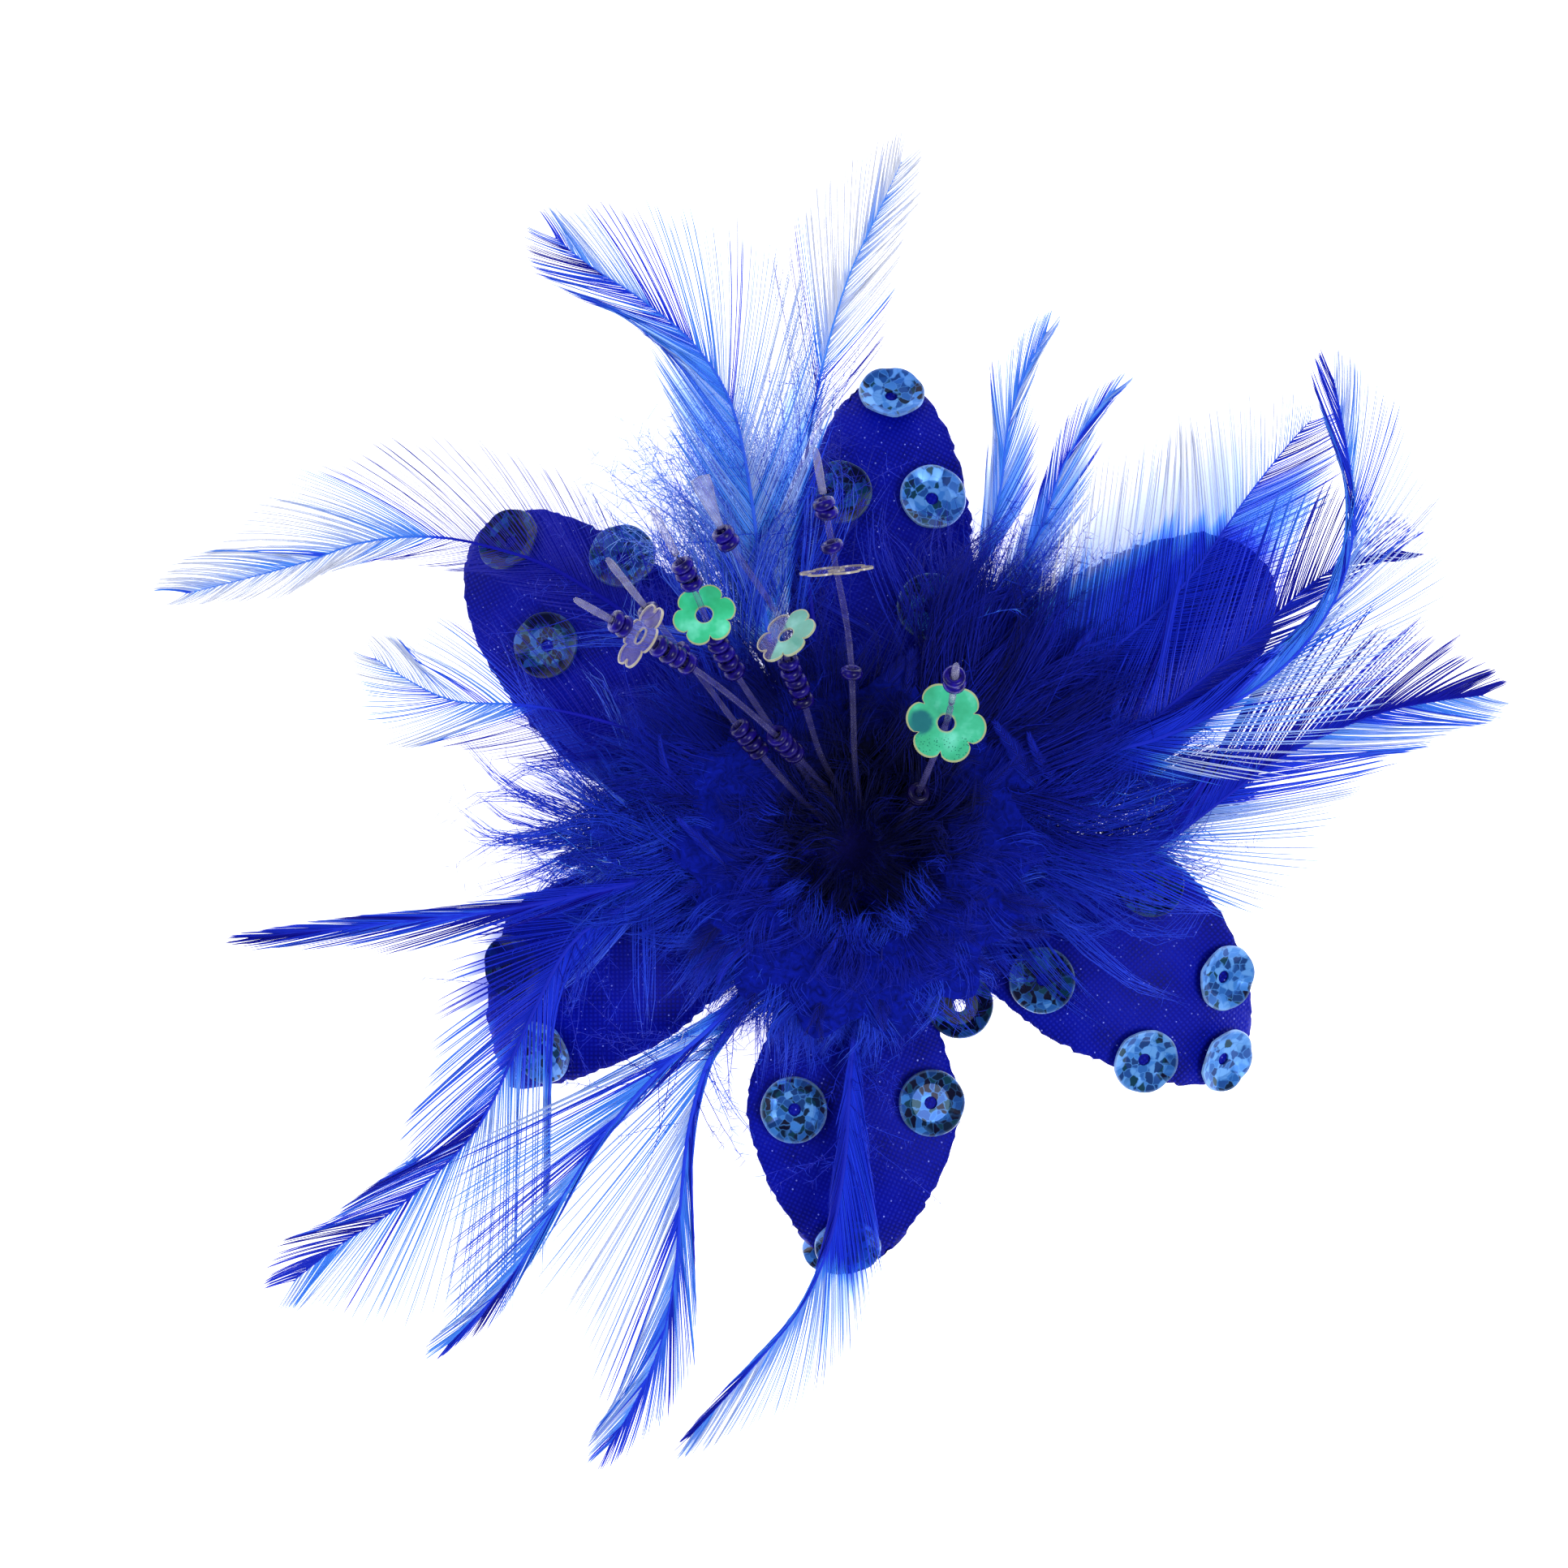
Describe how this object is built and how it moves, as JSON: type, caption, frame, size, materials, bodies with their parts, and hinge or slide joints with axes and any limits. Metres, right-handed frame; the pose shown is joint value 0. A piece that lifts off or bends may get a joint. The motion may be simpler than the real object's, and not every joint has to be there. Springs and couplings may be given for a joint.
{
  "type": "fascinator",
  "caption": "Blue feather flower fascinator: stiffened satin petals with cup sequins, beaded stamens, hackle feathers and a downy ruff on a felt-backed hair clip.",
  "frame": {"origin": "middle of the clip's flat underside, on the surface that the flower lies on", "axes": "+Z is the way the flower faces, +Y runs towards the top petal in the front view, +X to the right along the clip"},
  "size_m": [0.1659, 0.1615, 0.0572],
  "materials": {
    "satin": "royal-blue satin stiffened with felt, cut edges left raw",
    "hologram_sequin": "faceted cup sequin with a printed hologram",
    "iridescent_sequin": "thin iridescent film that turns green to clear violet",
    "clear_plastic": "clear moulded rod with a melted tip",
    "seed_bead": "dark blue glass seed bead",
    "hackle": "dyed hackle feather",
    "marabou_down": "dyed marabou down",
    "felt": "navy wool felt",
    "clip_steel": "plain plated steel"
  },
  "bodies": {
    "root": {"hair_clip": "clip_steel", "felt_backing": "felt", "petal_top": "satin", "petal_upper_left": "satin", "petal_lower_left": "satin", "petal_bottom": "satin", "petal_lower_right": "satin", "petal_upper_right": "satin", "sequin_top_1": "hologram_sequin", "sequin_top_2": "hologram_sequin", "sequin_top_3": "hologram_sequin", "sequin_top_4": "hologram_sequin", "sequin_upper_left_1": "hologram_sequin", "sequin_upper_left_2": "hologram_sequin", "sequin_upper_left_3": "hologram_sequin", "sequin_upper_right_1": "hologram_sequin", "sequin_lower_right_1": "hologram_sequin", "sequin_lower_right_2": "hologram_sequin", "sequin_lower_right_3": "hologram_sequin", "sequin_lower_right_4": "hologram_sequin", "sequin_lower_right_5": "hologram_sequin", "sequin_bottom_1": "hologram_sequin", "sequin_bottom_2": "hologram_sequin", "sequin_bottom_3": "hologram_sequin", "sequin_bottom_4": "hologram_sequin", "sequin_bottom_5": "hologram_sequin", "sequin_lower_left_1": "hologram_sequin", "sequin_lower_left_2": "hologram_sequin", "feather_top": "hackle", "feather_top_left": "hackle", "feather_left": "hackle", "feather_left_low": "hackle", "feather_lower_left_long": "hackle", "feather_lower_left_broad": "hackle", "feather_low_left_closed": "hackle", "feather_low": "hackle", "feather_bottom": "hackle", "feather_top_right_inner": "hackle", "feather_top_right_outer": "hackle", "feather_right_upper": "hackle", "feather_right_upright": "hackle", "feather_right_mid": "hackle", "feather_right_broad": "hackle", "marabou_ruff": "marabou_down", "stamen_a": "clear_plastic", "stamen_b": "clear_plastic", "stamen_c": "clear_plastic", "stamen_d": "clear_plastic", "stamen_e": "clear_plastic", "stamen_f": "clear_plastic", "flower_sequin_a": "iridescent_sequin", "flower_sequin_c": "iridescent_sequin", "flower_sequin_d": "iridescent_sequin", "flower_sequin_e": "iridescent_sequin", "flower_sequin_f": "iridescent_sequin"}
  },
  "joints": []
}
